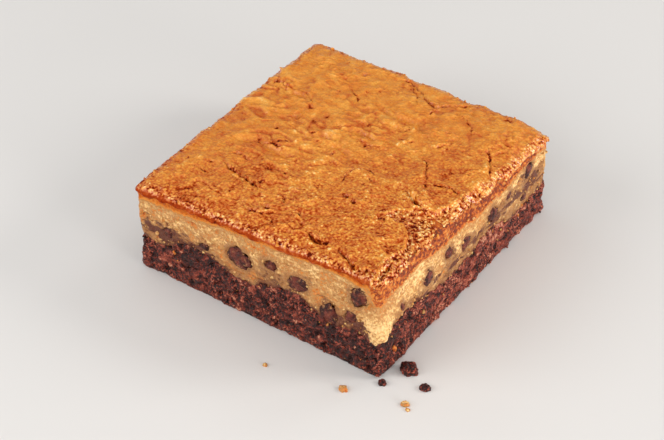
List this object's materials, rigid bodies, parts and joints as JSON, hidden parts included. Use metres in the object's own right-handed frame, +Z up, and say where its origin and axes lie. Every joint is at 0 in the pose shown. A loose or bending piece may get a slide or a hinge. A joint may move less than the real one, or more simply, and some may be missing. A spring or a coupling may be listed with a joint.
{
  "type": "brookie bar",
  "caption": "Square-cut bar of chocolate-chip cookie baked on a brownie base, with a cracked golden crust and chips showing at its four cut faces.",
  "frame": {"origin": "middle of the flat underside, where the bar rests", "axes": "+Z up; +Y along the bar's longer side, away from the front cut face; +X out of the right cut face"},
  "size_m": [0.067, 0.0708, 0.0279],
  "materials": {
    "brownie": "dense, moist, craggy dark brownie crumb",
    "cookie": "pale, doughy, fine-pored cookie crumb",
    "crust": "golden brown baked crust, thin and cracked, with a slight sheen",
    "chocolate": "smooth dark chocolate, sliced"
  },
  "bodies": {
    "root": {"brownie_layer": "brownie", "chip_back_1": "chocolate", "chip_back_2": "chocolate", "chip_back_3": "chocolate", "chip_back_4": "chocolate", "chip_back_5": "chocolate", "chip_back_6": "chocolate", "chip_back_7": "chocolate", "chip_back_8": "chocolate", "chip_front_1": "chocolate", "chip_front_2": "chocolate", "chip_front_3": "chocolate", "chip_front_4": "chocolate", "chip_front_5": "chocolate", "chip_front_6": "chocolate", "chip_front_7": "chocolate", "chip_front_8": "chocolate", "chip_front_9": "chocolate", "chip_left_1": "chocolate", "chip_left_2": "chocolate", "chip_left_3": "chocolate", "chip_left_4": "chocolate", "chip_left_5": "chocolate", "chip_left_6": "chocolate", "chip_left_7": "chocolate", "chip_left_8": "chocolate", "chip_right_1": "chocolate", "chip_right_2": "chocolate", "chip_right_3": "chocolate", "chip_right_4": "chocolate", "chip_right_5": "chocolate", "chip_right_6": "chocolate", "chip_right_7": "chocolate", "chip_right_8": "chocolate", "cookie_layer": "cookie"}
  },
  "joints": []
}
